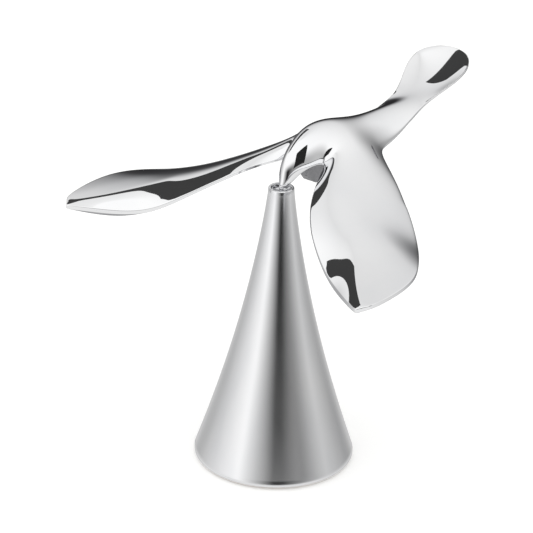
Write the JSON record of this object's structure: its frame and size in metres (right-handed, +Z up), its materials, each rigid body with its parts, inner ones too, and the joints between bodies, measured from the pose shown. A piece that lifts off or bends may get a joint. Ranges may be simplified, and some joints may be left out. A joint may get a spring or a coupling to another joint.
{
  "type": "balancing bird desk ornament",
  "caption": "Polished metal balancing bird with swept wings and an upturned paddle tail, resting by its beak on the dished top of a flared round stand.",
  "frame": {"origin": "centre of the stand's resting face, on the column's axis", "axes": "+Z up along the column's axis and through the ball under the beak; the bird faces -Y; +X is the bird's left"},
  "size_m": [0.167, 0.1804, 0.1571],
  "materials": {
    "cork_pad": "matte",
    "zinc_steel": "satin",
    "cast_iron": "matte",
    "column_chrome": "polished",
    "plug_brass": "satin",
    "cup_steel": "polished",
    "bearing_steel": "polished",
    "body_polish": "polished",
    "wing_chrome": "polished",
    "keel_aluminium": "satin"
  },
  "bodies": {
    "stand": {"foot_pad": "cork_pad", "base_plate": "zinc_steel", "stand_weight": "cast_iron", "stand_column": "column_chrome", "tie_rod": "zinc_steel", "tie_washer": "zinc_steel", "tie_nut": "zinc_steel", "top_plug": "plug_brass"},
    "cup": {"pivot_cup": "cup_steel"},
    "ball": {"pivot_ball": "bearing_steel"},
    "bird": {"bird_body": "body_polish", "left_wing": "wing_chrome", "right_wing": "wing_chrome", "keel_block": "keel_aluminium", "beak_pin": "bearing_steel", "left_dowel_front": "bearing_steel", "left_dowel_rear": "bearing_steel", "right_dowel_front": "bearing_steel", "right_dowel_rear": "bearing_steel", "keel_screw_front": "bearing_steel", "keel_screw_rear": "bearing_steel"}
  },
  "joints": [
    {"name": "spin", "type": "hinge", "parent": "stand", "child": "cup", "pos_m": [0, 0, 0.1298], "axis": [0, 0, 1], "continuous": true},
    {"name": "nod", "type": "hinge", "parent": "cup", "child": "ball", "pos_m": [0, 0, 0.1298], "axis": [1, 0, 0], "range_deg": [-10, 10]},
    {"name": "bank", "type": "hinge", "parent": "ball", "child": "bird", "pos_m": [0, 0, 0.1298], "axis": [0, 1, 0], "range_deg": [-10, 10]}
  ]
}
